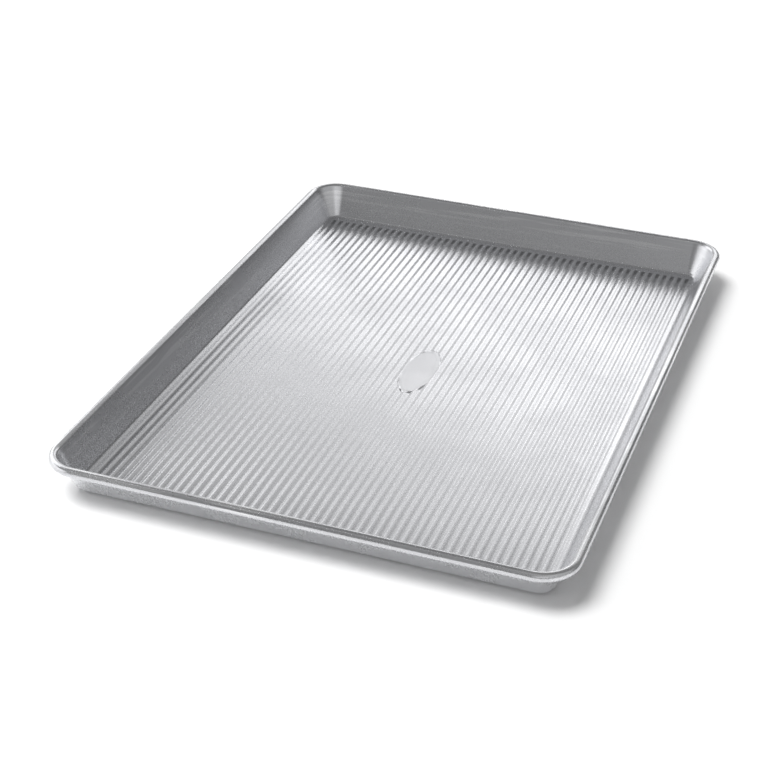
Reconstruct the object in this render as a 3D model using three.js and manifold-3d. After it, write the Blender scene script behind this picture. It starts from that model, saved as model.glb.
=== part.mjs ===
// Half-size fluted sheet pan: one drawn steel sheet with a rolled rim, and the wire ring inside the roll.
// Millimetres, +Z up. The flutes run along Y and the origin is under the middle of the pan.
import * as THREE from 'three';
import { mergeVertices } from 'three/addons/utils/BufferGeometryUtils.js';
import Module from 'manifold-3d';

const wasm = await Module();
wasm.setup();

// Overall size over the rim
const PAN_WIDTH = 330.2;
const PAN_LENGTH = 457.2;
const PAN_HEIGHT = 25.4;

// Sheet, walls and corners
const SHEET = 0.8;
const WALL_FLARE = 25; // degrees that the walls lean out from upright
const FLOOR_FILLET = 3.5; // inside radius between floor and wall
const RIM_CORNER = 24; // outside radius of the rim seen from above

// Rolled rim and its wire
const WIRE_DIAMETER = 4;
const WIRE_CLEARANCE = 0.3; // all round the wire, inside the roll
const ROLL_TURN = 283; // degrees from the wall round to the free edge

// Floor
const FLUTE_PITCH = 5.6;
const FLUTE_RISE = 0.8; // crests above valleys; the crests are level with the flat edge of the floor
const FLUTE_FLAT = 0.93; // width of the flat on each crest and in each valley
const FLUTE_RUNOUT = 8; // length in which a valley rises to the flat edge of the floor
const STRIP_WIDTH = 0.6; // flat strip at the foot of the wall
const STRIP_LAP = 0.45; // overlap of the fluted sheet on that strip

// Flat oval pressed into the middle of the floor
const OVAL_WIDTH = 22;
const OVAL_LENGTH = 60;
const OVAL_BORDER = 0.4; // ledge where the oval meets the ends of the flutes
const OVAL_SINK = 0.2; // depth of the oval under the crests

// Fineness of the round stretches
const ARC_STEP = 23; // most degrees between two points of a round section
const CORNER_STEPS = 8;
const OVAL_STEPS = 40;

// Section of the wall and roll. Offsets are counted outwards from the inner edge of the bottom fillet.
const flare = THREE.MathUtils.degToRad(WALL_FLARE);
const rollInside = WIRE_DIAMETER / 2 + WIRE_CLEARANCE;
const rollOutside = rollInside + SHEET;
const rollZ = PAN_HEIGHT - rollOutside;
const floorZ = FLUTE_RISE;
const filletZ = floorZ + SHEET + FLOOR_FILLET;
const wallFoot = new THREE.Vector2(Math.cos(flare), -Math.sin(flare)).multiplyScalar(FLOOR_FILLET);
wallFoot.y += filletZ;
const wallTopZ = rollZ + rollOutside * Math.sin(flare);
const wallRun = (wallTopZ - wallFoot.y) * Math.tan(flare);
const rollOffset = wallFoot.x + wallRun + rollOutside * Math.cos(flare);
const rimOffset = rollOffset + rollOutside;

// Flat floor that the section is swept around
const floorHalfX = PAN_WIDTH / 2 - rimOffset;
const floorHalfY = PAN_LENGTH / 2 - rimOffset;
const floorCorner = RIM_CORNER - rimOffset;

// Whole flutes from crest to crest on each side of the middle, clear of the strip and of its round inner corners
const flutesPerSide = Math.floor((floorHalfX - STRIP_WIDTH) / FLUTE_PITCH);
const fluteHalfX = flutesPerSide * FLUTE_PITCH;
const cornerReach = Math.max(0, fluteHalfX - (floorHalfX - floorCorner));
const fluteHalfY = floorHalfY - floorCorner + Math.sqrt((floorCorner - STRIP_WIDTH) ** 2 - cornerReach ** 2);

// Evenly spaced angles, both ends included
function angles(from, to) {
  const steps = Math.ceil(Math.abs(THREE.MathUtils.radToDeg(to - from)) / ARC_STEP);
  return Array.from({ length: steps + 1 }, (_, i) => from + ((to - from) * i) / steps);
}

// Points of an arc in a section
function arc(centreX, centreY, radius, turns) {
  return turns.map((turn) => new THREE.Vector2(centreX + radius * Math.cos(turn), centreY + radius * Math.sin(turn)));
}

// Skin over a row of section loops. A ring joins its last loop to its first; a bar gets a cap on each end,
// laid across from the lower half of the loop to the upper half.
function skin(loops, isRing) {
  const count = loops[0].length;
  const positions = loops.flat().flatMap((point) => point.toArray());
  const triangles = [];
  const quad = (a, b, c, d) => triangles.push(a, b, c, a, c, d);
  const spans = isRing ? loops.length : loops.length - 1;
  for (let i = 0; i < spans; i += 1) {
    const here = i * count;
    const next = ((i + 1) % loops.length) * count;
    for (let j = 0; j < count; j += 1) {
      const k = (j + 1) % count;
      quad(here + j, next + j, next + k, here + k);
    }
  }
  if (!isRing) {
    const last = (loops.length - 1) * count;
    for (let j = 0; j < count / 2 - 1; j += 1) {
      quad(j, j + 1, count - 2 - j, count - 1 - j);
      quad(last + j, last + count - 1 - j, last + count - 2 - j, last + j + 1);
    }
  }
  const geometry = new THREE.BufferGeometry();
  geometry.setAttribute('position', new THREE.Float32BufferAttribute(positions, 3));
  geometry.setIndex(triangles);
  return geometry;
}

// Section carried round the rounded rectangle of the floor, growing at the corners with its offset
function sweepRound(section) {
  const loops = [];
  const quarter = Math.PI / 2;
  for (let side = 0; side < 4; side += 1) {
    const signX = side === 0 || side === 3 ? 1 : -1;
    const signY = side < 2 ? 1 : -1;
    const centreX = signX * (floorHalfX - floorCorner);
    const centreY = signY * (floorHalfY - floorCorner);
    for (let i = 0; i <= CORNER_STEPS; i += 1) {
      const angle = quarter * (side + i / CORNER_STEPS);
      loops.push(section.map((point) => {
        const reach = floorCorner + point.x;
        return new THREE.Vector3(centreX + reach * Math.cos(angle), centreY + reach * Math.sin(angle), point.y);
      }));
    }
  }
  return skin(loops, true);
}

// Solid for joining and cutting
function solidOf(geometry) {
  const bare = new THREE.BufferGeometry();
  bare.setAttribute('position', geometry.getAttribute('position'));
  bare.setIndex(geometry.getIndex());
  const merged = mergeVertices(bare, 1e-4);
  const mesh = new wasm.Mesh({
    numProp: 3,
    vertProperties: new Float32Array(merged.getAttribute('position').array),
    triVerts: new Uint32Array(merged.getIndex().array),
  });
  return new wasm.Manifold(mesh);
}

function geometryOf(solid) {
  const mesh = solid.getMesh();
  const geometry = new THREE.BufferGeometry();
  geometry.setAttribute('position', new THREE.BufferAttribute(mesh.vertProperties, 3));
  geometry.setIndex(new THREE.BufferAttribute(mesh.triVerts, 1));
  geometry.computeVertexNormals();
  return geometry;
}

// Wall, fillet, rolled rim and the flat strip at the foot of the wall
function wallSolid() {
  const up = Math.PI / 2;
  const rollStart = Math.PI - flare;
  const rollEnd = rollStart - THREE.MathUtils.degToRad(ROLL_TURN);
  const fillet = angles(-up, -flare);
  const roll = [...angles(rollStart, up), ...angles(up, 0).slice(1), ...angles(0, rollEnd).slice(1)];
  const section = [
    new THREE.Vector2(-STRIP_WIDTH, floorZ),
    ...arc(0, filletZ, FLOOR_FILLET + SHEET, fillet),
    ...arc(rollOffset, rollZ, rollInside, roll),
    ...arc(rollOffset, rollZ, rollOutside, roll.toReversed()),
    ...arc(0, filletZ, FLOOR_FILLET, fillet.toReversed()),
    new THREE.Vector2(-STRIP_WIDTH, floorZ + SHEET),
  ];
  return solidOf(sweepRound(section));
}

// Upright column between two heights
function column(outline, steps, fromZ, toZ) {
  const geometry = new THREE.ExtrudeGeometry(outline, {
    depth: toZ - fromZ,
    bevelEnabled: false,
    curveSegments: steps,
  });
  geometry.translate(0, 0, fromZ);
  return solidOf(geometry);
}

function ovalOutline(width, length) {
  const outline = new THREE.Shape();
  outline.absellipse(0, 0, width / 2, length / 2, 0, 2 * Math.PI);
  return outline;
}

// Outline of the floor, drawn in from the inner edge of the bottom fillet
function floorOutline(inset) {
  const quarter = Math.PI / 2;
  const x = floorHalfX - floorCorner;
  const y = floorHalfY - floorCorner;
  const radius = floorCorner - inset;
  const outline = new THREE.Shape();
  outline.absarc(x, y, radius, 0, quarter);
  outline.absarc(-x, y, radius, quarter, 2 * quarter);
  outline.absarc(-x, -y, radius, 2 * quarter, 3 * quarter);
  outline.absarc(x, -y, radius, 3 * quarter, 4 * quarter);
  outline.closePath();
  return outline;
}

// Fluted sheet inside the flat strip. The valleys are pressed down from the level of the strip.
function flutedSolid() {
  const half = FLUTE_FLAT / 2;
  const wave = [{ x: -floorHalfX, dip: 0 }];
  for (let i = -flutesPerSide; i < flutesPerSide; i += 1) {
    const crest = i * FLUTE_PITCH;
    const valley = crest + FLUTE_PITCH / 2;
    const nextCrest = crest + FLUTE_PITCH;
    wave.push({ x: crest + half, dip: 0 });
    wave.push({ x: valley - half, dip: FLUTE_RISE });
    wave.push({ x: valley + half, dip: FLUTE_RISE });
    wave.push({ x: nextCrest - half, dip: 0 });
  }
  wave.push({ x: floorHalfX, dip: 0 });
  const fullEnd = fluteHalfY - FLUTE_RUNOUT;
  const rows = [
    { y: -floorHalfY, share: 0 },
    { y: -fluteHalfY, share: 0 },
    { y: -fullEnd, share: 1 },
    { y: fullEnd, share: 1 },
    { y: fluteHalfY, share: 0 },
    { y: floorHalfY, share: 0 },
  ];
  const loops = rows.map(({ y, share }) => {
    const under = wave.map(({ x, dip }) => new THREE.Vector3(x, y, floorZ - share * dip));
    const over = wave.map(({ x, dip }) => new THREE.Vector3(x, y, floorZ + SHEET - share * dip));
    return [...under, ...over.toReversed()];
  });
  const outline = floorOutline(STRIP_WIDTH - STRIP_LAP);
  return solidOf(skin(loops, false)).intersect(column(outline, CORNER_STEPS, -SHEET, floorZ + 2 * SHEET));
}

function shellGeometry() {
  const ovalZ = floorZ - OVAL_SINK;
  const hole = ovalOutline(OVAL_WIDTH, OVAL_LENGTH);
  const panel = ovalOutline(OVAL_WIDTH + 2 * OVAL_BORDER, OVAL_LENGTH + 2 * OVAL_BORDER);
  const ovalHole = column(hole, OVAL_STEPS, -SHEET, floorZ + 2 * SHEET);
  const ovalPanel = column(panel, OVAL_STEPS, ovalZ, ovalZ + SHEET);
  const floor = flutedSolid().subtract(ovalHole).add(ovalPanel);
  return geometryOf(wallSolid().add(floor));
}

function wireGeometry() {
  const turns = angles(0, 2 * Math.PI).slice(1);
  const geometry = sweepRound(arc(rollOffset, rollZ, WIRE_DIAMETER / 2, turns));
  geometry.computeVertexNormals();
  return geometry;
}

function part(name, geometry, material) {
  const mesh = new THREE.Mesh(geometry, material);
  mesh.name = name;
  return mesh;
}

const sheetSteel = new THREE.MeshStandardMaterial({ color: 0xb8bbbe, roughness: 0.3, metalness: 1 });
const wireSteel = new THREE.MeshStandardMaterial({ color: 0x9a9da0, roughness: 0.45, metalness: 1 });

const pan = new THREE.Group();
pan.name = 'sheet_pan';
pan.add(part('pan_shell', shellGeometry(), sheetSteel));
pan.add(part('rim_wire', wireGeometry(), wireSteel));

export default pan;
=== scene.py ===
"""Studio scene of a fluted half-size sheet pan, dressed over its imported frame."""

import logging
import math
from dataclasses import dataclass, field
from enum import Enum

import bmesh
import bpy
from mathutils import Matrix, Vector


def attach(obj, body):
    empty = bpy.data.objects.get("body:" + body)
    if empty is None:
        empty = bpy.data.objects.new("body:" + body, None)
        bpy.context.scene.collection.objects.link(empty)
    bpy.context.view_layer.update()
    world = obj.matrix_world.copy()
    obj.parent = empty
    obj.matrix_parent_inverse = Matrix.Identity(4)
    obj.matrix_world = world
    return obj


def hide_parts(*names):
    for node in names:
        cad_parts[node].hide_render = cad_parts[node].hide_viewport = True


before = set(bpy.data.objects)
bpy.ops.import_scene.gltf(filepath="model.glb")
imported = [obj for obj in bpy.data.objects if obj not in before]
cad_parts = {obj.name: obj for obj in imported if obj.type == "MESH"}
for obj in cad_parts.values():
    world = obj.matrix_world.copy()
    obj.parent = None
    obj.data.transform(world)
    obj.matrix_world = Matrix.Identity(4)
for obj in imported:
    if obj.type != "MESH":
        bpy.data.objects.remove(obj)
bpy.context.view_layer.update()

MM = 0.001
WELD = 0.001 * MM
TINY = 1e-9
SHARP_ANGLE = math.radians(60)
QUARTER_TURN = 90.0
WHITE = (1.0, 1.0, 1.0, 1.0)
FLECK_MIDDLE = 0.5
# Power of an area lamp for each square metre and unit of radiance.
AREA_LAMP_WATTS = 4.0
LOG = logging.getLogger("sheet_pan")

Colour = tuple[float, float, float]


class Body(Enum):
    """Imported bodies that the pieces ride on."""

    ROOT = "root"


class Slot(Enum):
    """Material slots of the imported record."""

    SHEET = "sheet_steel"
    WIRE = "wire_steel"


class Mark(Enum):
    """Vertex values that the finishes read back from the sheet."""

    RUB = "rub"
    # Painted shade in the valley ends, the valleys beside the left wall, the walls' bend, under the roll
    # and on the wire.
    PAINTED_SHADE = "hollow"
    STAMP = "stamp"
    # Inner walls, where painted shade and painted reflection streaks go.
    WALL = "wall"
    # Outer wall under the roll, where painted light goes.
    OUTER = "outer"


class MixKind(Enum):
    """Kinds of mix node, with the places of their two inputs and their result."""

    FLOAT = (2, 3, 0)
    RGBA = (6, 7, 2)


@dataclass(frozen=True)
class PanSizes:
    """Driving sizes of the pan, in metres and degrees, as in its solids."""

    width: float = 330.2 * MM
    length: float = 457.2 * MM
    height: float = 25.4 * MM
    sheet: float = 0.8 * MM
    wall_flare: float = 25.0
    floor_fillet: float = 3.5 * MM
    rim_corner: float = 24.0 * MM
    wire_diameter: float = 4.0 * MM
    wire_clearance: float = 0.3 * MM
    roll_turn: float = 283.0
    flute_count: int = 52
    flute_pitch: float = 5.6 * MM
    flute_rise: float = 0.8 * MM
    flute_runout: float = 8.0 * MM
    strip: float = 0.6 * MM
    oval_width: float = 22.0 * MM
    oval_length: float = 60.0 * MM
    oval_sink: float = 0.2 * MM

    @property
    def flare(self) -> float:
        """Lean of the walls from upright, in radians."""
        return math.radians(self.wall_flare)

    @property
    def roll_radius(self) -> float:
        """Outside radius of the rolled rim."""
        return self.wire_diameter / 2 + self.wire_clearance + self.sheet

    @property
    def roll_height(self) -> float:
        """Height of the rolled rim's centre."""
        return self.height - self.roll_radius

    @property
    def wall_top(self) -> float:
        """Height at which the wall runs into the roll."""
        return self.roll_height + self.roll_radius * math.sin(self.flare)

    @property
    def floor_level(self) -> float:
        """Height of the flat margin round the floor, level with the flutes' crests."""
        return self.sheet + self.flute_rise

    @property
    def wall_foot(self) -> float:
        """Height at which the fillet runs into the wall."""
        return self.floor_level + self.floor_fillet * (1 - math.sin(self.flare))

    @property
    def roll_offset(self) -> float:
        """Distance of the roll's centre outside the floor's edge."""
        lean = (self.wall_top - self.wall_foot) * math.tan(self.flare)
        return lean + (self.floor_fillet + self.roll_radius) * math.cos(self.flare)

    @property
    def floor_half(self) -> Vector:
        """Half width and half length of the floor, up to its fillet."""
        reach = self.roll_offset + self.roll_radius
        return Vector((self.width / 2 - reach, self.length / 2 - reach, self.floor_level))

    @property
    def floor_corner(self) -> float:
        """Radius of the floor's corners."""
        return self.rim_corner - self.roll_offset - self.roll_radius

    @property
    def corner_axis(self) -> Vector:
        """Point that one corner's bends turn about."""
        return self.floor_half - Vector((self.floor_corner, self.floor_corner, self.floor_level))

    @property
    def flute_half(self) -> Vector:
        """Half width and half length of the fluted field."""
        half_width = self.flute_count * self.flute_pitch / 2
        across = half_width - self.corner_axis.x
        along = math.sqrt((self.floor_corner - self.strip) ** 2 - across**2)
        return Vector((half_width, self.corner_axis.y + along, self.floor_level))


def smooth_step(low: float, high: float, value: float) -> float:
    """Eases a value from 0 at one limit to 1 at the other.

    Args:
        low: Limit at which the result is 0.
        high: Limit at which the result is 1.
        value: Value to ease.

    Returns:
        The eased value, from 0 to 1.
    """
    part = min(max((value - low) / (high - low), 0.0), 1.0)
    return part * part * (3 - 2 * part)


def round_the_pan(bm: bmesh.types.BMesh, sizes: PanSizes, steps: int) -> None:
    """Carries one section round a corner and along both half sides, and mirrors it into a ring.

    Args:
        bm: Mesh that holds only the section, beside the corner and facing +X.
        sizes: Sizes of the pan.
        steps: Steps in the quarter turn.
    """
    axis = sizes.corner_axis
    section = bm.verts[:] + bm.edges[:]
    first = bm.edges[:]
    turned = bmesh.ops.spin(
        bm, geom=section, cent=(axis.x, axis.y, 0), axis=(0, 0, 1), angle=math.pi / 2, steps=steps
    )
    last = [item for item in turned["geom_last"] if isinstance(item, bmesh.types.BMEdge)]
    for edges, run in ((first, (0, -axis.y, 0)), (last, (-axis.x, 0, 0))):
        drawn = bmesh.ops.extrude_edge_only(bm, edges=edges)["geom"]
        moved = [item for item in drawn if isinstance(item, bmesh.types.BMVert)]
        bmesh.ops.translate(bm, verts=moved, vec=run)
    for side in ("X", "Y"):
        whole = bm.verts[:] + bm.edges[:] + bm.faces[:]
        bmesh.ops.mirror(bm, geom=whole, matrix=Matrix.Identity(4), merge_dist=WELD, axis=side)
    bmesh.ops.remove_doubles(bm, verts=bm.verts[:], dist=WELD)


def piece_of(bm: bmesh.types.BMesh, name: str, node: str) -> bpy.types.Object:
    """Turns a finished mesh into a piece that stands for a node of the frame.

    Args:
        bm: Finished mesh, freed here.
        name: Name of the new piece.
        node: Node of the frame that the piece replaces.

    Returns:
        The new piece, riding on its body.
    """
    for face in bm.faces:
        face.smooth = True
    mesh = bpy.data.meshes.new(name)
    bm.to_mesh(mesh)
    bm.free()
    mesh.set_sharp_from_angle(angle=SHARP_ANGLE)
    piece = bpy.data.objects.new(name, mesh)
    bpy.context.scene.collection.objects.link(piece)
    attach(piece, Body.ROOT.value)
    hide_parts(node)
    return piece


class NodeBench:
    """Adds and joins the nodes of one shader tree."""

    def __init__(self, tree: bpy.types.NodeTree) -> None:
        """Keeps the tree that the nodes go into."""
        self.tree = tree

    @classmethod
    def cleared(cls, owner: bpy.types.Material | bpy.types.World) -> "NodeBench":
        """Empties the tree of a material or a world, and gives its bench."""
        owner.use_nodes = True
        owner.node_tree.nodes.clear()
        return cls(owner.node_tree)

    def add(self, kind: str, **settings: object) -> bpy.types.Node:
        """Adds a node.

        Args:
            kind: Blender's name of the node type.
            settings: Properties of the node.

        Returns:
            The new node.
        """
        node = self.tree.nodes.new(kind)
        for key, value in settings.items():
            setattr(node, key, value)
        return node

    def feed(self, socket: bpy.types.NodeSocket, source: object) -> None:
        """Joins a socket to another one, or sets its value."""
        if isinstance(source, bpy.types.NodeSocket):
            self.tree.links.new(source, socket)
        else:
            socket.default_value = source

    def math(self, operation: str, first: object, second: object = 0.0) -> bpy.types.NodeSocket:
        """Works out one number from two.

        Args:
            operation: Name of the operation.
            first: First socket or number.
            second: Second socket or number.

        Returns:
            Socket with the result.
        """
        node = self.add("ShaderNodeMath", operation=operation)
        self.feed(node.inputs[0], first)
        self.feed(node.inputs[1], second)
        return node.outputs[0]

    def ease(
        self, value: object, source: tuple[float, float], target: tuple[float, float] = (0.0, 1.0)
    ) -> bpy.types.NodeSocket:
        """Eases a value smoothly from one range to another.

        Args:
            value: Socket to ease.
            source: Range that comes in.
            target: Range that goes out.

        Returns:
            Socket with the eased value.
        """
        node = self.add("ShaderNodeMapRange", interpolation_type="SMOOTHSTEP")
        self.feed(node.inputs["Value"], value)
        self.feed(node.inputs["From Min"], source[0])
        self.feed(node.inputs["From Max"], source[1])
        self.feed(node.inputs["To Min"], target[0])
        self.feed(node.inputs["To Max"], target[1])
        return node.outputs["Result"]

    def blend(
        self, factor: object, first: object, second: object, kind: MixKind = MixKind.RGBA
    ) -> bpy.types.NodeSocket:
        """Blends two colours or two numbers.

        Args:
            factor: Share of the second one.
            first: Colour or number at 0.
            second: Colour or number at 1.
            kind: Whether colours or numbers are blended.

        Returns:
            Socket with the blend.
        """
        node = self.add("ShaderNodeMix", data_type=kind.name)
        low, high, result = kind.value
        self.feed(node.inputs[0], factor)
        self.feed(node.inputs[low], first)
        self.feed(node.inputs[high], second)
        return node.outputs[result]

    def tint(self, mask: object, share: float, first: object, second: Colour) -> bpy.types.NodeSocket:
        """Blends a colour over another by a share of a mask.

        Args:
            mask: Socket with the mask.
            share: Share of the second colour where the mask is 1.
            first: Colour where the mask is 0.
            second: Colour that is blended in.

        Returns:
            Socket with the blended colour.
        """
        return self.blend(self.math("MULTIPLY", mask, share), first, (*second, 1.0))

    def noise(self, vector: object, scale: object, detail: float, rough: float) -> bpy.types.NodeSocket:
        """Adds a noise field.

        Args:
            vector: Socket with the place.
            scale: Grains to the metre.
            detail: Octaves of finer noise.
            rough: Weight of the finer octaves.

        Returns:
            Socket with the noise, from 0 to 1.
        """
        node = self.add("ShaderNodeTexNoise", noise_dimensions="3D", normalize=True)
        self.feed(node.inputs["Vector"], vector)
        self.feed(node.inputs["Scale"], scale)
        self.feed(node.inputs["Detail"], detail)
        self.feed(node.inputs["Roughness"], rough)
        return node.outputs["Fac"]


class SurfaceEffect(Enum):
    """Surface effects that more than one finish uses."""

    GRAIN = "coated_grain"
    MARKS = "handling_marks"
    DRAW = "draw_streaks"
    RUB = "rubbed_edges"

    def group(self) -> bpy.types.NodeTree:
        """Gives the effect's node group, built once."""
        made = bpy.data.node_groups.get(self.value)
        if made:
            return made
        tree = bpy.data.node_groups.new(self.value, "ShaderNodeTree")
        builders = {
            SurfaceEffect.GRAIN: _coated_grain,
            SurfaceEffect.MARKS: _handling_marks,
            SurfaceEffect.DRAW: _painted_reflection_streaks,
            SurfaceEffect.RUB: _rubbed_edges,
        }
        builders[self](tree)
        return tree

    def place(self, bench: NodeBench, **values: object) -> bpy.types.Node:
        """Places the effect in a material.

        Args:
            bench: Bench of the material's tree.
            values: Values or sockets for the group's inputs, by name.

        Returns:
            The group's node.
        """
        node = bench.add("ShaderNodeGroup", node_tree=self.group())
        for key, value in values.items():
            bench.feed(node.inputs[key], value)
        return node


def _sockets(
    tree: bpy.types.NodeTree, vectors: tuple[str, ...], floats: tuple[str, ...], outputs: tuple[str, ...]
) -> tuple[NodeBench, bpy.types.NodeOutputs, bpy.types.NodeInputs]:
    """Makes a group's sockets.

    Args:
        tree: The group's tree.
        vectors: Names of the vector inputs.
        floats: Names of the number inputs.
        outputs: Names of the number outputs.

    Returns:
        The bench, the input node's sockets and the output node's sockets.
    """
    for name in vectors:
        tree.interface.new_socket(name, in_out="INPUT", socket_type="NodeSocketVector")
    for name in floats:
        tree.interface.new_socket(name, in_out="INPUT", socket_type="NodeSocketFloat")
    for name in outputs:
        tree.interface.new_socket(name, in_out="OUTPUT", socket_type="NodeSocketFloat")
    bench = NodeBench(tree)
    inlet = bench.add("NodeGroupInput")
    outlet = bench.add("NodeGroupOutput")
    return bench, inlet.outputs, outlet.inputs


def _coated_grain(tree: bpy.types.NodeTree) -> None:
    """Builds the fine pebble and the flecks of a baked-on coat over steel."""
    bench, given, result = _sockets(tree, ("Place",), ("Size", "Level"), ("Height", "Fleck"))
    fine_share, broad_share = 0.5, 0.8
    broad_scale, cell_scale = 0.31, 0.55
    density = bench.math("DIVIDE", 1.0, given["Size"])
    fine = bench.noise(given["Place"], density, detail=2.0, rough=0.6)
    spread = bench.math("MULTIPLY", density, broad_scale)
    broad = bench.noise(given["Place"], spread, detail=1.0, rough=0.5)
    pebble = bench.math("MULTIPLY", fine, fine_share)
    height = bench.math("ADD", pebble, bench.math("MULTIPLY", broad, broad_share))
    cells = bench.add("ShaderNodeTexVoronoi", feature="F1")
    bench.feed(cells.inputs["Vector"], given["Place"])
    bench.feed(cells.inputs["Scale"], bench.math("MULTIPLY", density, cell_scale))
    split = bench.add("ShaderNodeSeparateColor")
    bench.feed(split.inputs[0], cells.outputs["Color"])
    centred = bench.math("SUBTRACT", split.outputs[0], FLECK_MIDDLE)
    fleck = bench.math("MULTIPLY", centred, given["Level"])
    bench.feed(result["Height"], bench.math("MULTIPLY", height, given["Level"]))
    bench.feed(result["Fleck"], bench.math("ADD", fleck, FLECK_MIDDLE))


def _handling_marks(tree: bpy.types.NodeTree) -> None:
    """Builds broad cloudy smears and thin straight scuffs in two directions."""
    bench, given, result = _sockets(tree, ("Place",), ("Size",), ("Smear", "Scuff"))
    smear_edge, scuff_edge = (0.3, 0.72), (0.74, 0.82)
    turns_and_stretches = ((23.0, 26.0), (-58.0, 34.0))
    scuff_scale = 26.0
    density = bench.math("DIVIDE", 1.0, given["Size"])
    smear = bench.ease(bench.noise(given["Place"], density, detail=4.0, rough=0.55), smear_edge)
    fine = bench.math("MULTIPLY", density, scuff_scale)
    lines = []
    for turn, stretch in turns_and_stretches:
        mapping = bench.add("ShaderNodeMapping", vector_type="TEXTURE")
        mapping.inputs["Rotation"].default_value = (0.0, 0.0, math.radians(turn))
        mapping.inputs["Scale"].default_value = (1.0, stretch, 1.0)
        bench.feed(mapping.inputs["Vector"], given["Place"])
        scratch = bench.noise(mapping.outputs[0], fine, detail=1.0, rough=0.5)
        lines.append(bench.ease(scratch, scuff_edge))
    bench.feed(result["Smear"], smear)
    bench.feed(result["Scuff"], bench.math("MAXIMUM", *lines))


def _painted_reflection_streaks(tree: bpy.types.NodeTree) -> None:
    """Builds long level streaks of painted reflection on the inner walls."""
    bench, given, result = _sockets(tree, ("Place",), ("Wall", "Shift", "Length", "Width"), ("Streak",))
    streak_edge = (0.52, 0.61)
    split = bench.add("ShaderNodeSeparateXYZ")
    bench.feed(split.inputs[0], given["Place"])
    joined = bench.add("ShaderNodeCombineXYZ")
    moved = bench.math("SUBTRACT", split.outputs["X"], given["Shift"])
    endways, upward = split.outputs["Y"], split.outputs["Z"]
    for axis, along, size in (("X", moved, "Length"), ("Y", endways, "Length"), ("Z", upward, "Width")):
        bench.feed(joined.inputs[axis], bench.math("DIVIDE", along, given[size]))
    lines = bench.ease(bench.noise(joined.outputs[0], 1.0, detail=2.0, rough=0.6), streak_edge)
    bench.feed(result["Streak"], bench.math("MULTIPLY", lines, given["Wall"]))


def _rubbed_edges(tree: bpy.types.NodeTree) -> None:
    """Builds a broken mask of the places that are rubbed bright in use."""
    bench, given, result = _sockets(tree, ("Place",), ("Rub", "Size"), ("Mask",))
    break_up, mask_edge = 0.9, (1.05, 1.6)
    density = bench.math("DIVIDE", 1.0, given["Size"])
    broken = bench.noise(given["Place"], density, detail=5.0, rough=0.65)
    level = bench.math("ADD", given["Rub"], bench.math("MULTIPLY", broken, break_up))
    bench.feed(result["Mask"], bench.ease(level, mask_edge))


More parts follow.
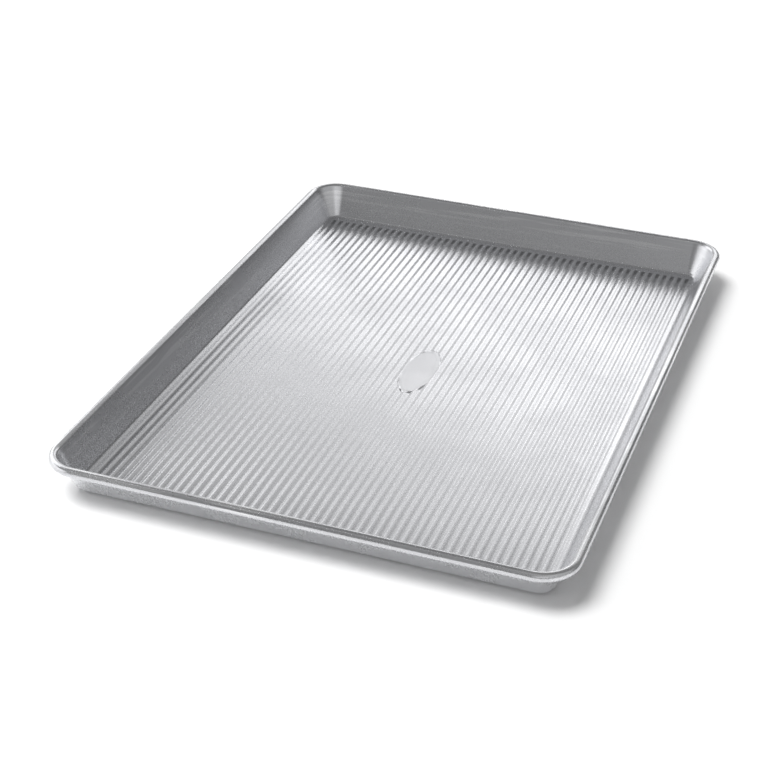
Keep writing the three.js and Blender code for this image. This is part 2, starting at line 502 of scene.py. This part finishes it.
@dataclass(frozen=True)
class SteelFinish:
    """Satin steel with a fine grain, cloudy smears, scuffs and rubbed edges, with painted shade and
    painted light on its walls, bends, valleys and roll.
    """

    name: str
    dull: Colour = (0.755, 0.76, 0.785)
    clear: Colour = (0.825, 0.83, 0.855)
    rubbed: Colour = (0.86, 0.865, 0.88)
    # Painted shade: darker tone blended over the inner walls; it also tints the stamped oval.
    drawn: Colour = (0.61, 0.615, 0.635)
    # Painted light: lighter tone of the reflection streaks on the inner walls and of the outer wall under
    # the roll.
    painted_light: Colour = (0.90, 0.905, 0.92)
    roughness: tuple[float, float] = (0.26, 0.29)
    metallic: float = 0.93
    # Shares of the painted wall shade and of the painted light.
    wall_shade_share: float = 0.6
    bright_share: float = 0.8
    stamp_share: float = 0.15
    stamp_roughness: float = 0.08
    grain_size: float = 0.45 * MM
    grain_depth: float = 0.0012 * MM
    wall_grain: float = 0.25
    fleck_share: float = 0.45
    fleck_roughness: float = 0.05
    smear_size: float = 55.0 * MM
    smear_share: float = 0.55
    # Painted shade in the valley ends, beside the left wall, in the bends and under the roll.
    shade_share: float = 0.9
    shade_tone: float = 0.36
    scuff_share: float = 0.35
    scuff_roughness: float = 0.06
    scuff_height: float = 0.5
    rub_size: float = 4.0 * MM
    rub_share: float = 0.7
    rub_roughness: float = 0.05
    # Size and place of the painted reflection streaks on the inner walls.
    streak_length: float = 95.0 * MM
    streak_width: float = 2.6 * MM
    streak_shift: float = 150.0 * MM
    wave_size: float = 42.0 * MM
    wave_depth: float = 0.015 * MM
    coat: float = 0.25
    worn_coat: float = 0.4
    coat_roughness: float = 0.22
    coat_ior: float = 1.42

    def material(self) -> bpy.types.Material:
        """Builds the finish's material.

        Returns:
            The new material.
        """
        material = bpy.data.materials.new(self.name)
        bench = NodeBench.cleared(material)
        place = bench.add("ShaderNodeTexCoord").outputs["Object"]
        rub, hollow, stamp, wall, outer = (
            bench.add("ShaderNodeAttribute", attribute_name=mark.value).outputs["Fac"]
            for mark in (Mark.RUB, Mark.PAINTED_SHADE, Mark.STAMP, Mark.WALL, Mark.OUTER)
        )
        calm = bench.ease(bench.math("MAXIMUM", wall, outer), (0.0, 1.0), (1.0, self.wall_grain))
        grain = SurfaceEffect.GRAIN.place(bench, Place=place, Size=self.grain_size, Level=calm)
        marks = SurfaceEffect.MARKS.place(bench, Place=place, Size=self.smear_size)
        edges = SurfaceEffect.RUB.place(bench, Place=place, Rub=rub, Size=self.rub_size)
        streaks = SurfaceEffect.DRAW.place(
            bench,
            Place=place,
            Wall=wall,
            Shift=self.streak_shift,
            Length=self.streak_length,
            Width=self.streak_width,
        )
        shader = bench.add("ShaderNodeBsdfPrincipled")
        body = self._colour(bench, grain, marks, edges, hollow)
        # Painted shade darkens the inner walls.
        drawn = bench.tint(wall, self.wall_shade_share, body, self.drawn)
        # Painted light: reflection streaks on the inner walls and a lighter outer wall under the roll.
        bright = bench.math("MAXIMUM", streaks.outputs["Streak"], outer)
        painted_light = bench.tint(bright, self.bright_share, drawn, self.painted_light)
        bench.feed(shader.inputs["Base Color"], bench.tint(stamp, self.stamp_share, painted_light, self.drawn))
        rough = self._roughness(bench, grain, marks, edges)
        pressed = bench.math("MULTIPLY", stamp, self.stamp_roughness)
        bench.feed(shader.inputs["Roughness"], bench.math("ADD", rough, pressed))
        bench.feed(shader.inputs["Normal"], self._relief(bench, place, grain, marks))
        bench.feed(shader.inputs["Coat Weight"], self._coat(bench, marks, edges))
        shader.inputs["Metallic"].default_value = self.metallic
        shader.inputs["Coat Roughness"].default_value = self.coat_roughness
        shader.inputs["Coat IOR"].default_value = self.coat_ior
        out = bench.add("ShaderNodeOutputMaterial")
        bench.feed(out.inputs["Surface"], shader.outputs[0])
        return material

    def _colour(
        self,
        bench: NodeBench,
        grain: bpy.types.Node,
        marks: bpy.types.Node,
        edges: bpy.types.Node,
        hollow: bpy.types.NodeSocket,
    ) -> bpy.types.NodeSocket:
        """Mixes the steel's colour from its grain, smears, painted shade and rubbed edges.

        Args:
            bench: Bench of the material.
            grain: Grain group.
            marks: Handling marks group.
            edges: Rubbed edges group.
            hollow: Mask where shade is painted: valley ends, valleys beside the left wall, bends and
                under the roll.

        Returns:
            Socket with the colour.
        """
        fleck = bench.math("MULTIPLY", grain.outputs["Fleck"], self.fleck_share)
        smear = bench.math("MULTIPLY", marks.outputs["Smear"], self.smear_share)
        body = bench.blend(bench.math("ADD", fleck, smear), (*self.dull, 1.0), (*self.clear, 1.0))
        # Painted shade: a darker tone blended in where the painted shade mask is high.
        shade_paint = tuple(self.shade_tone * part for part in self.dull)
        shaded = bench.tint(hollow, self.shade_share, body, shade_paint)
        scuffed = bench.tint(marks.outputs["Scuff"], self.scuff_share, shaded, self.rubbed)
        return bench.tint(edges.outputs["Mask"], self.rub_share, scuffed, self.rubbed)

    def _roughness(
        self, bench: NodeBench, grain: bpy.types.Node, marks: bpy.types.Node, edges: bpy.types.Node
    ) -> bpy.types.NodeSocket:
        """Mixes the steel's roughness.

        Args:
            bench: Bench of the material.
            grain: Grain group.
            marks: Handling marks group.
            edges: Rubbed edges group.

        Returns:
            Socket with the roughness.
        """
        low, high = self.roughness
        cloudy = bench.ease(marks.outputs["Smear"], (0.0, 1.0), (high, low))
        spread = bench.math("SUBTRACT", grain.outputs["Fleck"], FLECK_MIDDLE)
        flecked = bench.math("ADD", cloudy, bench.math("MULTIPLY", spread, self.fleck_roughness))
        scuff = bench.math("MULTIPLY", marks.outputs["Scuff"], self.scuff_roughness)
        polish = bench.math("MULTIPLY", edges.outputs["Mask"], self.rub_roughness)
        return bench.math("SUBTRACT", bench.math("ADD", flecked, scuff), polish)

    def _coat(
        self, bench: NodeBench, marks: bpy.types.Node, edges: bpy.types.Node
    ) -> bpy.types.NodeSocket:
        """Gives the coat's weight, which is thinner where the steel is rubbed or scuffed."""
        worn = bench.math("MAXIMUM", marks.outputs["Scuff"], edges.outputs["Mask"])
        return bench.ease(worn, (0.0, 1.0), (self.coat, self.coat * self.worn_coat))

    def _relief(
        self,
        bench: NodeBench,
        place: bpy.types.NodeSocket,
        grain: bpy.types.Node,
        marks: bpy.types.Node,
    ) -> bpy.types.NodeSocket:
        """Builds the pressed sheet's slow waves, its grain and its scuffs.

        Args:
            bench: Bench of the material.
            place: Object coordinates.
            grain: Grain group.
            marks: Handling marks group.

        Returns:
            Socket with the normal.
        """
        waves = bench.add("ShaderNodeBump")
        waves.inputs["Distance"].default_value = self.wave_depth
        waves.inputs["Strength"].default_value = 1.0
        swell = bench.noise(place, 1 / self.wave_size, detail=0.0, rough=0.5)
        bench.feed(waves.inputs["Height"], swell)
        pebble = bench.add("ShaderNodeBump")
        pebble.inputs["Distance"].default_value = self.grain_depth
        pebble.inputs["Strength"].default_value = 1.0
        scuff = bench.math("MULTIPLY", marks.outputs["Scuff"], self.scuff_height)
        bench.feed(pebble.inputs["Height"], bench.math("SUBTRACT", grain.outputs["Height"], scuff))
        bench.feed(pebble.inputs["Normal"], waves.outputs[0])
        return pebble.outputs[0]


@dataclass(frozen=True)
class SheetWearAndShade:
    """Where handling rubs the sheet and where shade is painted on it, in metres, shares and radii of the
    roll.
    """

    rim_rub: float = 0.75
    side_rub: float = 0.5
    foot_rub: float = 0.6
    crest_rub: float = 0.45
    rim_start: float = 0.4
    side_band: float = 0.9 * MM
    foot_band: float = 0.15 * MM
    crest_start: float = 0.75
    wall_band: float = 2.5 * MM
    inner_face: tuple[float, float] = (-0.4, 0.2)
    outer_face: tuple[float, float] = (0.2, -0.2)
    outer_band: tuple[float, float] = (-1.0, -1.3)
    stamp_edge: tuple[float, float] = (1.02, 0.94)
    # Painted shade in the walls' bend, at the fillet and towards the ends.
    bend_shade: float = 0.37
    bend_band: tuple[float, float] = (1.5 * MM, -1.0 * MM)
    fillet_band: tuple[float, float] = (0.5 * MM, 1.1 * MM)
    end_share: float = 0.35
    end_band: tuple[float, float] = (-12.0 * MM, -4.0 * MM)
    # Painted shade at the valleys' ends.
    valley_band: tuple[float, float] = (-12.8 * MM, -4.0 * MM)
    valley_depth: tuple[float, float] = (0.2, 0.8)
    # Painted shade under the outer side of the roll, stronger on the right side.
    roll_shade: float = 0.27
    roll_band: tuple[float, float] = (0.8, 0.3)
    right_shade: float = 0.4
    right_band: tuple[float, float] = (-9.0 * MM, -6.0 * MM)
    # Painted shade in the valleys beside the left wall.
    left_band: tuple[float, float] = (-124.0 * MM, -135.0 * MM)
    left_fade: tuple[float, float] = (190.0 * MM, -30.0 * MM)
    left_depth: tuple[float, float] = (0.45, 0.95)

    def mark(self, bm: bmesh.types.BMesh, sizes: PanSizes) -> None:
        """Stores the marks on the vertices of the finished sheet.

        Args:
            bm: Finished mesh.
            sizes: Sizes of the pan.
        """
        layers = {kind: bm.verts.layers.float.new(kind.value) for kind in Mark}
        half = sizes.flute_half
        for vert in bm.verts:
            x, y, z = vert.co
            upward = vert.normal.z
            inside = abs(x) < half.x and abs(y) < half.y
            rise = smooth_step(sizes.wall_foot, sizes.wall_foot + self.wall_band, z)
            below = self._on_roll(sizes, self.outer_band, z)
            away = math.hypot(x / sizes.oval_width * 2, y / sizes.oval_length * 2)
            # Inner walls take painted shade and painted reflection streaks.
            vert[layers[Mark.WALL]] = rise * smooth_step(*self.inner_face, upward)
            # The outer wall under the roll takes painted light.
            vert[layers[Mark.OUTER]] = below * smooth_step(*self.outer_face, upward)
            vert[layers[Mark.STAMP]] = smooth_step(*self.stamp_edge, away) if upward > 0 else 0.0
            vert[layers[Mark.RUB]] = self._rubbed(sizes, vert.co, inside)
            # Painted shade: valley ends and left-wall valleys in the field; bends and the roll's
            # underside outside it.
            vert[layers[Mark.PAINTED_SHADE]] = (self._groove if inside else self._bend)(sizes, vert.co)

    @staticmethod
    def _on_roll(sizes: PanSizes, band: tuple[float, float], z: float) -> float:
        """Eases over a band of heights that is given in radii of the roll, from its centre."""
        low, high = (sizes.roll_height + part * sizes.roll_radius for part in band)
        return smooth_step(low, high, z)

    def _rubbed(self, sizes: PanSizes, spot: Vector, inside: bool) -> float:
        """Tells how far a place is rubbed bright.

        Args:
            sizes: Sizes of the pan.
            spot: Place on the sheet.
            inside: Whether the place is in the fluted field.

        Returns:
            Level of the rubbing, from 0 to 1.
        """
        top = self._on_roll(sizes, (self.rim_start, 1.0), spot.z)
        reach = max(abs(spot.x) - sizes.width / 2, abs(spot.y) - sizes.length / 2)
        side = smooth_step(-self.side_band, 0.0, reach)
        foot = smooth_step(self.foot_band, 0.0, spot.z)
        climb = (spot.z - sizes.sheet) / sizes.flute_rise
        crest = smooth_step(self.crest_start, 1.0, climb) if inside else 0.0
        return max(self.rim_rub * top, self.side_rub * side, self.foot_rub * foot, self.crest_rub * crest)

    def _groove(self, sizes: PanSizes, spot: Vector) -> float:
        """Gives the painted shade in the valleys: at their ends, and all along beside the left wall.

        Args:
            sizes: Sizes of the pan.
            spot: Place in the fluted field.

        Returns:
            Level of the painted shade, from 0 to 1.
        """
        half = sizes.flute_half
        low = (1 - math.cos((spot.x + half.x) / sizes.flute_pitch * 2 * math.pi)) / 2
        end = smooth_step(*(half.y + step for step in self.valley_band), abs(spot.y))
        at_end = end * smooth_step(*self.valley_depth, low)
        beside = smooth_step(*self.left_band, spot.x) * smooth_step(*self.left_fade, spot.y)
        return max(at_end, beside * smooth_step(*self.left_depth, low))

    def _bend(self, sizes: PanSizes, spot: Vector) -> float:
        """Gives the painted shade in the walls' bend and under the outer side of the roll, stronger on
        the right side.

        Args:
            sizes: Sizes of the pan.
            spot: Place outside the fluted field.

        Returns:
            Level of the painted shade, from 0 to 1.
        """
        fillet = smooth_step(*(sizes.floor_level + step for step in self.fillet_band), spot.z)
        ends = smooth_step(*(sizes.flute_half.y + step for step in self.end_band), abs(spot.y))
        height = smooth_step(*(sizes.wall_foot + step for step in self.bend_band), spot.z)
        bend = self.bend_shade * height * max(fillet, self.end_share * ends)
        reach = max(abs(spot.x) - sizes.floor_half.x, abs(spot.y) - sizes.floor_half.y)
        if reach <= sizes.roll_offset:
            return bend
        right = smooth_step(*(sizes.width / 2 + step for step in self.right_band), spot.x)
        lower = self._on_roll(sizes, self.roll_band, spot.z)
        return max(bend, (self.roll_shade + self.right_shade * right) * lower)


@dataclass
class PanPart:
    """What the pan's parts share: sizes, a finish, and the piece once it is built."""

    sizes: PanSizes
    finish: SteelFinish
    corner_steps: int = 24
    piece: bpy.types.Object | None = field(default=None, init=False)

    def dress(self) -> None:
        """Gives the piece its finish."""
        self.piece.data.materials.append(self.finish.material())


@dataclass
class PanSheet(PanPart):
    """The pressed sheet: fluted floor, flared walls, rounded corners and rolled rim."""

    fillet_steps: int = 10
    roll_steps: tuple[int, int, int] = (9, 12, 17)
    flute_steps: int = 12
    runout_steps: int = 8
    bay: float = 34.0 * MM
    oval_step: float = 0.35 * MM
    oval_phase: float = 0.25
    oval_border: float = 0.9 * MM
    oval_margin: float = 2.0
    border_rise: float = 0.08 * MM
    ring_inset: float = 2.4 * MM
    ring_width: float = 0.8 * MM
    ring_rise: float = 0.05 * MM
    edge_fall: float = 0.12 * MM
    # Wear, and painted shade, stored on the sheet's vertices.
    wear_and_shade: SheetWearAndShade = SheetWearAndShade()

    def build(self) -> bpy.types.Object:
        """Models the sheet.

        Returns:
            The finished piece.
        """
        bm = bmesh.new()
        self._section(bm)
        round_the_pan(bm, self.sizes, self.corner_steps)
        self._floor(bm)
        self._margin(bm)
        bmesh.ops.recalc_face_normals(bm, faces=bm.faces[:])
        middle = min(bm.faces, key=lambda face: face.calc_center_median().length)
        if middle.normal.z < 0:
            bmesh.ops.reverse_faces(bm, faces=bm.faces[:])
        bm.normal_update()
        bmesh.ops.solidify(bm, geom=bm.faces[:], thickness=self.sizes.sheet)
        for vert in bm.verts:
            vert.co.z = max(vert.co.z, 0.0)
        self.wear_and_shade.mark(bm, self.sizes)
        self.piece = piece_of(bm, "pan_sheet", "pan_shell")
        return self.piece

    def _section(self, bm: bmesh.types.BMesh) -> None:
        """Draws the upper face of the fillet, wall and roll beside one corner.

        Args:
            bm: Empty mesh.
        """
        s = self.sizes
        foot = Vector((s.floor_half.x, s.corner_axis.y, s.floor_level))
        bend = foot + Vector((0, 0, s.floor_fillet))
        roll = Vector((s.floor_half.x + s.roll_offset, s.corner_axis.y, s.roll_height))
        end = bm.verts.new(foot)
        end = self._arc(bm, end, bend, s.wall_flare - QUARTER_TURN, self.fillet_steps)
        rise = Vector((-math.cos(s.flare), 0, math.sin(s.flare))) * s.roll_radius
        wall = bmesh.ops.extrude_vert_indiv(bm, verts=[end])["verts"]
        bmesh.ops.translate(bm, verts=wall, vec=roll + rise - end.co)
        end = wall[0]
        over = QUARTER_TURN - s.wall_flare
        turns = (over, QUARTER_TURN, s.roll_turn - QUARTER_TURN - over)
        for turn, steps in zip(turns, self.roll_steps):
            end = self._arc(bm, end, roll, turn, steps)

    @staticmethod
    def _arc(
        bm: bmesh.types.BMesh, start: bmesh.types.BMVert, centre: Vector, turn: float, steps: int
    ) -> bmesh.types.BMVert:
        """Draws an arc of the section on from a vertex.

        Args:
            bm: Mesh of the section.
            start: Vertex that the arc leaves from.
            centre: Centre of the arc.
            turn: Turn about +Y, in degrees.
            steps: Steps in the arc.

        Returns:
            The arc's last vertex.
        """
        drawn = bmesh.ops.spin(
            bm, geom=[start], cent=centre, axis=(0, 1, 0), angle=math.radians(turn), steps=steps
        )
        return next(item for item in drawn["geom_last"] if isinstance(item, bmesh.types.BMVert))

    def _floor(self, bm: bmesh.types.BMesh) -> None:
        """Lays the fluted field, with its run-outs and its flat oval, inside the ring of walls.

        Args:
            bm: Mesh of the walls.
        """
        s = self.sizes
        columns = s.flute_count * self.flute_steps
        half = s.flute_half
        grid = bmesh.ops.create_grid(bm, x_segments=columns, y_segments=1, size=1.0)["verts"]
        bmesh.ops.scale(bm, verts=grid, vec=(half.x, half.y, 1.0))
        bmesh.ops.translate(bm, verts=grid, vec=(0, 0, s.floor_level))
        plain = half.y - s.flute_runout
        rows = [plain + s.flute_runout * step / self.runout_steps for step in range(self.runout_steps)]
        bays = round(plain / self.bay)
        rows += [plain * step / bays for step in range(1, bays)]
        reach = Vector((half.x, half.y, 0)) + Vector((WELD, WELD, 0))
        self._cut(bm, reach, sorted({*rows, 0.0, *(-row for row in rows)}))
        margin = Vector((self.oval_margin, self.oval_margin, 0)) * self.oval_border
        around = Vector((s.oval_width, s.oval_length, 0)) / 2 + margin
        count = int(around.y / self.oval_step)
        steps = range(-count, count + 1)
        self._cut(bm, around, [(step + self.oval_phase) * self.oval_step for step in steps])
        for vert in bm.verts:
            if abs(vert.co.x) <= reach.x and abs(vert.co.y) <= reach.y:
                vert.co.z -= self._dip(vert.co.x, vert.co.y)

    def _cut(self, bm: bmesh.types.BMesh, reach: Vector, rows: list[float]) -> None:
        """Cuts rows across the flat floor faces within a reach of the middle.

        Args:
            bm: Mesh of the pan.
            reach: Half size of the area that is cut.
            rows: Places of the rows along the pan.
        """
        level = self.sizes.floor_level
        faces = [
            face
            for face in bm.faces
            if all(abs(vert.co.x) <= reach.x and abs(vert.co.z - level) < WELD for vert in face.verts)
            and min(abs(vert.co.y) for vert in face.verts) <= reach.y
        ]
        geom = list(dict.fromkeys(item for face in faces for item in (face, *face.edges, *face.verts)))
        for row in rows:
            cut = bmesh.ops.bisect_plane(
                bm, geom=geom, dist=WELD, plane_co=(0, row, 0), plane_no=(0, 1, 0)
            )
            geom = cut["geom"]

    def _dip(self, x: float, y: float) -> float:
        """Gives the depth of the pressed form under the floor's flat margin.

        Args:
            x: Place across the flutes.
            y: Place along the flutes.

        Returns:
            Depth of the pressed form, in metres.
        """
        s = self.sizes
        turn = (x + s.flute_half.x) / s.flute_pitch * 2 * math.pi
        sunk = smooth_step(s.flute_half.y, s.flute_half.y - s.flute_runout, abs(y))
        half = Vector((s.oval_width / 2, s.oval_length / 2))
        away = math.hypot(x / half.x, y / half.y)
        slope = math.hypot(x / half.x**2, y / half.y**2) / max(away, TINY)
        outside = (away - 1.0) / max(slope, TINY)
        clear = smooth_step(-self.oval_border / 2, self.oval_border / 2, outside)
        ridge = max(0.0, math.cos(min(abs(outside) / self.oval_border, 1.0) * math.pi / 2)) ** 2
        ring = smooth_step(self.ring_width, 0.0, abs(outside + self.ring_inset))
        wave = s.flute_rise * (1 - math.cos(turn)) / 2 * sunk
        raised = self.border_rise * ridge + self.ring_rise * ring
        fall = self.edge_fall * smooth_step(s.flute_half.x - s.strip, s.flute_half.x, abs(x))
        return s.oval_sink + (wave - s.oval_sink) * clear - raised + fall

    def _margin(self, bm: bmesh.types.BMesh) -> None:
        """Fills the flat margin between the fluted field and the walls' fillet.

        Args:
            bm: Mesh of the walls and the field.
        """
        level = self.sizes.floor_level + WELD
        loops = [
            edge
            for edge in bm.edges
            if edge.is_boundary and all(vert.co.z < level for vert in edge.verts)
        ]
        bmesh.ops.triangle_fill(bm, use_beauty=True, edges=loops, normal=(0, 0, 1))


@dataclass
class RimWire(PanPart):
    """The stiffening wire that the rim is rolled around."""

    sides: int = 20
    rub: float = 0.2
    # Painted shade on the wire inside the roll.
    shade_paint: float = 0.5

    def build(self) -> bpy.types.Object:
        """Models the wire.

        Returns:
            The finished piece.
        """
        s = self.sizes
        bm = bmesh.new()
        ring = bmesh.ops.create_circle(bm, segments=self.sides, radius=s.wire_diameter / 2)["verts"]
        bmesh.ops.rotate(bm, verts=ring, cent=(0, 0, 0), matrix=Matrix.Rotation(math.pi / 2, 3, "X"))
        spot = (s.floor_half.x + s.roll_offset, s.corner_axis.y, s.roll_height)
        bmesh.ops.translate(bm, verts=ring, vec=spot)
        round_the_pan(bm, s, self.corner_steps)
        bmesh.ops.recalc_face_normals(bm, faces=bm.faces[:])
        rub = bm.verts.layers.float.new(Mark.RUB.value)
        hollow = bm.verts.layers.float.new(Mark.PAINTED_SHADE.value)
        for vert in bm.verts:
            vert[rub] = self.rub
            vert[hollow] = self.shade_paint
        self.piece = piece_of(bm, "rim_wire_ring", "rim_wire")
        return self.piece


def towards(bearing: float, elevation: float) -> Vector:
    """Gives the direction to a place round the pan.

    Args:
        bearing: Compass bearing from the far side, in degrees, positive to the right.
        elevation: Height above the floor, in degrees.

    Returns:
        Unit vector from the pan to that place.
    """
    a, e = math.radians(bearing), math.radians(elevation)
    return Vector((math.sin(a) * math.cos(e), math.cos(a) * math.cos(e), math.sin(e)))


def stand_lamp(
    data: bpy.types.Light, bearing: float, elevation: float, distance: float = 0.0
) -> bpy.types.Object:
    """Stands a lamp round the pan, turned to it and out of the camera's sight.

    Args:
        data: The lamp's light.
        bearing: Bearing of the lamp, in degrees.
        elevation: Height of the lamp above the floor, in degrees.
        distance: Distance of the lamp from the pan.

    Returns:
        The lamp.
    """
    lamp = bpy.data.objects.new(data.name, data)
    out = towards(bearing, elevation)
    lamp.location = out * distance
    lamp.rotation_mode = "QUATERNION"
    lamp.rotation_quaternion = out.to_track_quat("Z", "Y")
    lamp.visible_camera = False
    bpy.context.scene.collection.objects.link(lamp)
    return lamp


@dataclass(frozen=True)
class Softbox:
    """A soft light that stands round the pan and shows in its metal."""

    name: str
    bearing: float
    elevation: float
    width: float
    height: float
    radiance: float
    distance: float = 2.2

    def place(self) -> None:
        """Stands the light in the scene, turned to the pan."""
        angles = (self.width, self.height)
        across, along = (2 * self.distance * math.tan(math.radians(angle / 2)) for angle in angles)
        data = bpy.data.lights.new(self.name, "AREA")
        data.shape = "RECTANGLE"
        data.size = across
        data.size_y = along
        data.energy = AREA_LAMP_WATTS * self.radiance * across * along
        stand_lamp(data, self.bearing, self.elevation, self.distance)


@dataclass(frozen=True)
class CeilingLight:
    """The broad light from above that draws the pan's shadow on the floor."""

    name: str = "ceiling_light"
    bearing: float = -112.0
    elevation: float = 66.0
    spread: float = 32.0
    level: float = 0.70

    def place(self) -> None:
        """Hangs the light in the scene."""
        data = bpy.data.lights.new(self.name, "SUN")
        data.angle = math.radians(self.spread)
        data.energy = math.pi * self.level / math.sin(math.radians(self.elevation))
        lamp = stand_lamp(data, self.bearing, self.elevation)
        lamp.visible_glossy = False


@dataclass(frozen=True)
class PaleWall:
    """A round, soft-edged pale part of the room that shows in the metal."""

    bearing: float
    elevation: float
    core: float
    edge: float
    radiance: float

    def shade(self, bench: NodeBench, direction: bpy.types.NodeSocket) -> bpy.types.NodeSocket:
        """Adds the pale part to the room's tree.

        Args:
            bench: Bench of the world's tree.
            direction: Socket with the direction looked at.

        Returns:
            Socket with the part's radiance.
        """
        dot = bench.add("ShaderNodeVectorMath", operation="DOT_PRODUCT")
        bench.feed(dot.inputs[0], direction)
        bench.feed(dot.inputs[1], towards(self.bearing, self.elevation))
        limits = (math.cos(math.radians(self.edge)), math.cos(math.radians(self.core)))
        return bench.ease(dot.outputs["Value"], limits, (0.0, self.radiance))


@dataclass
class Studio:
    """Pale floor, a dim room with pale parts, and soft lights."""

    floor_size: float = 12.0
    floor_drop: float = 0.2 * MM
    floor_colour: Colour = (0.97, 0.97, 0.97)
    floor_glow: float = 0.9
    floor_share: float = 0.04
    backdrop: float = 1.0
    ambient: float = 0.264
    room: float = 0.188
    ceiling_shade: float = 0.136
    ceiling_band: tuple[float, float] = (40.0, 60.0)
    skirting: float = 0.088
    skirting_top: float = 20.0
    walls: tuple[PaleWall, ...] = (
        PaleWall(-24.0, 16.5, 8.0, 21.0, 0.60),
        PaleWall(0.0, 33.0, 6.0, 15.0, 0.36),
        PaleWall(164.0, 28.0, 12.0, 24.0, 0.55),
        PaleWall(112.0, 25.0, 20.0, 48.0, 0.29),
        PaleWall(-26.0, 33.0, 4.0, 13.0, 0.20),
    )
    lights: tuple[Softbox, ...] = (
        Softbox("far_softbox", 1.0, 29.0, 38.0, 12.0, 1.04),
        Softbox("overhead_softbox", 180.0, 65.0, 76.0, 34.0, 0.12),
        Softbox("left_broad_softbox", -66.5, 30.5, 43.0, 41.0, 1.12),
        Softbox("left_softbox", -114.0, 16.0, 50.0, 22.0, 1.1),
    )
    ceiling: CeilingLight = CeilingLight()

    def build(self) -> None:
        """Lays the floor and stands the lights."""
        bm = bmesh.new()
        sheet = bmesh.ops.create_grid(bm, x_segments=1, y_segments=1, size=self.floor_size / 2)["verts"]
        bmesh.ops.translate(bm, verts=sheet, vec=(0, 0, -self.floor_drop))
        mesh = bpy.data.meshes.new("studio_floor")
        bm.to_mesh(mesh)
        bm.free()
        floor = bpy.data.objects.new("studio_floor", mesh)
        bpy.context.scene.collection.objects.link(floor)
        floor.data.materials.append(self._floor_paint())
        for light in (*self.lights, self.ceiling):
            light.place()
        self._surroundings()

    def _floor_paint(self) -> bpy.types.Material:
        """Makes the floor's matt white paint, which shows a little plainer in the metal than to the eye.

        Returns:
            The floor's material.
        """
        material = bpy.data.materials.new("floor_paint")
        bench = NodeBench.cleared(material)
        matt = bench.add("ShaderNodeBsdfDiffuse")
        matt.inputs["Color"].default_value = (*self.floor_colour, 1.0)
        pale = bench.add("ShaderNodeEmission")
        pale.inputs["Strength"].default_value = self.floor_glow
        path = bench.add("ShaderNodeLightPath")
        shown = bench.add("ShaderNodeMixShader")
        share = bench.math("MULTIPLY", path.outputs["Is Glossy Ray"], self.floor_share)
        bench.feed(shown.inputs[0], share)
        bench.feed(shown.inputs[1], matt.outputs[0])
        bench.feed(shown.inputs[2], pale.outputs[0])
        out = bench.add("ShaderNodeOutputMaterial")
        bench.feed(out.inputs["Surface"], shown.outputs[0])
        material.cycles.emission_sampling = "NONE"
        return material

    def _surroundings(self) -> None:
        """Sets the world: white to the eye, even to matt surfaces, a dim room to metal."""
        world = bpy.data.worlds.new("studio_surroundings")
        bpy.context.scene.world = world
        bench = NodeBench.cleared(world)
        direction = bench.add("ShaderNodeTexCoord").outputs["Generated"]
        height = bench.add("ShaderNodeSeparateXYZ")
        bench.feed(height.inputs[0], direction)
        low, high, top = (
            math.sin(math.radians(angle)) for angle in (*self.ceiling_band, self.skirting_top)
        )
        upper = bench.ease(height.outputs["Z"], (low, high), (self.room, self.ceiling_shade))
        lower = bench.ease(height.outputs["Z"], (0.0, top), (self.skirting, self.room))
        room = bench.math("MINIMUM", upper, lower)
        for wall in self.walls:
            room = bench.math("ADD", room, wall.shade(bench, direction))
        path = bench.add("ShaderNodeLightPath")
        level = bench.blend(path.outputs["Is Glossy Ray"], self.ambient, room, MixKind.FLOAT)
        seen = bench.blend(path.outputs["Is Camera Ray"], level, self.backdrop, MixKind.FLOAT)
        glow = bench.add("ShaderNodeBackground")
        glow.inputs["Color"].default_value = WHITE
        bench.feed(glow.inputs["Strength"], seen)
        out = bench.add("ShaderNodeOutputWorld")
        bench.feed(out.inputs["Surface"], glow.outputs[0])


@dataclass(frozen=True)
class PhotoCamera:
    """Camera at the photograph's angle, for a square image of 771 pixels."""

    bearing: float = 19.552
    elevation: float = 30.208
    distance: float = 1152.453 * MM
    roll: float = 0.948
    target: tuple[float, float, float] = (-15.81 * MM, -24.849 * MM, 0.0)
    focal_pixels: float = 1711.404
    image_pixels: float = 771.0
    sensor: float = 36.0
    clip: tuple[float, float] = (0.05, 60.0)

    def place(self) -> None:
        """Stands the camera in the scene."""
        data = bpy.data.cameras.new("photo_camera")
        data.sensor_width = self.sensor
        data.sensor_fit = "HORIZONTAL"
        data.lens = self.focal_pixels / self.image_pixels * self.sensor
        data.clip_start, data.clip_end = self.clip
        camera = bpy.data.objects.new("photo_camera", data)
        a, e = math.radians(self.bearing), math.radians(self.elevation)
        back = Vector((math.sin(a) * math.cos(e), -math.cos(a) * math.cos(e), math.sin(e)))
        across = Vector((0, 0, 1)).cross(back).normalized()
        upward = back.cross(across)
        turn = math.radians(self.roll)
        right = across * math.cos(turn) + upward * math.sin(turn)
        top = upward * math.cos(turn) - across * math.sin(turn)
        axes = Matrix((right, top, back)).transposed().to_4x4()
        spot = Vector(self.target) + back * self.distance
        camera.matrix_world = Matrix.Translation(spot) @ axes
        bpy.context.scene.collection.objects.link(camera)
        bpy.context.scene.camera = camera


def main() -> None:
    """Builds the scene and its pieces in order."""
    logging.basicConfig(level=logging.INFO, format="%(name)s: %(message)s")
    bpy.context.scene.view_settings.view_transform = "Standard"
    PhotoCamera().place()
    Studio().build()
    sizes = PanSizes()
    sheet_finish = SteelFinish("coated_steel")
    wire_finish = SteelFinish("drawn_wire_steel", dull=(0.5, 0.5, 0.5), clear=(0.6, 0.6, 0.6), coat=0.1)
    for part in (PanSheet(sizes, sheet_finish), RimWire(sizes, wire_finish)):
        piece = part.build()
        part.dress()
        count = sum(len(polygon.vertices) - 2 for polygon in piece.data.polygons)
        LOG.info("%s: %d triangles", piece.name, count)


if __name__ == "__main__":
    main()
